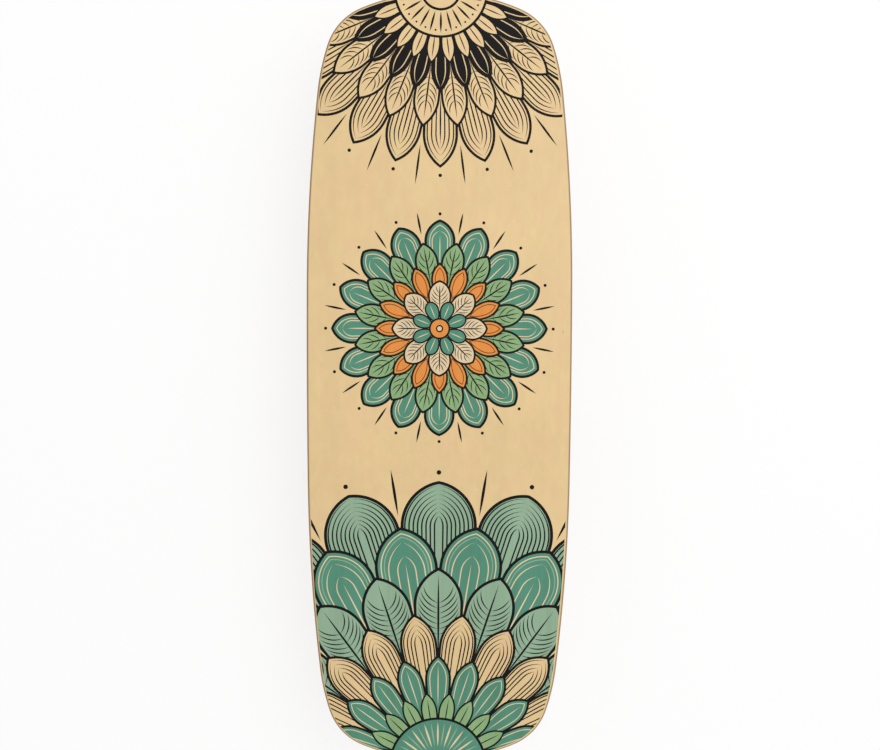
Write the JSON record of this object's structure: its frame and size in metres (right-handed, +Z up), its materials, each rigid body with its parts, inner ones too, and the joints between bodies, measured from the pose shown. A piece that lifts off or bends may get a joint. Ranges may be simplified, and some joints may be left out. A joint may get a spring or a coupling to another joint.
{
  "type": "balance board with roller",
  "caption": "Balance board: a flat plywood deck with rounded ends and end stops underneath, standing on a cork covered roller that runs lengthwise between the stops.",
  "frame": {"origin": "on the floor, under the middle of the deck, where the roller stands", "axes": "+Y along the deck's length, the way that the roller runs; +X across the deck, along the roller's own axis; +Z up"},
  "size_m": [0.275, 0.8, 0.1123],
  "materials": {
    "face_veneer": "clear satin lacquer on pale birch",
    "long_grain_veneer": "sanded edge, grain along the deck",
    "cross_grain_veneer": "sanded edge, grain across the deck",
    "stop_wood": "oiled beech",
    "stop_rubber": "matt black",
    "screw_steel": "zinc plated",
    "roller_cork": "pressed cork granules, sanded",
    "roller_tube": "wound veneer, raw end",
    "roller_disc": "sanded birch plywood",
    "print_black": "screen ink under the deck's lacquer",
    "print_teal": "screen ink under the deck's lacquer",
    "print_sea": "screen ink under the deck's lacquer",
    "print_green": "screen ink under the deck's lacquer",
    "print_orange": "screen ink under the deck's lacquer",
    "print_cream": "screen ink under the deck's lacquer"
  },
  "bodies": {
    "deck": {"deck_ply_1": "face_veneer", "deck_ply_2": "cross_grain_veneer", "deck_ply_3": "long_grain_veneer", "deck_ply_4": "cross_grain_veneer", "deck_ply_5": "long_grain_veneer", "deck_ply_6": "cross_grain_veneer", "deck_ply_7": "long_grain_veneer", "deck_ply_8": "cross_grain_veneer", "deck_ply_9": "face_veneer", "end_stop_front": "stop_wood", "end_stop_rear": "stop_wood", "stop_pad_front": "stop_rubber", "stop_pad_rear": "stop_rubber", "stop_screw_front_1": "screw_steel", "stop_screw_front_2": "screw_steel", "stop_screw_front_3": "screw_steel", "stop_screw_rear_1": "screw_steel", "stop_screw_rear_2": "screw_steel", "stop_screw_rear_3": "screw_steel"},
    "roller": {"roller_cork_sleeve": "roller_cork", "roller_core_tube": "roller_tube", "roller_end_disc_left": "roller_disc", "roller_end_disc_right": "roller_disc", "roller_middle_disc": "roller_disc"}
  },
  "joints": [
    {"name": "roller_travel", "type": "slide", "parent": "deck", "child": "roller", "axis": [0, 1, 0], "range_m": [-0.279, 0.279]}
  ]
}
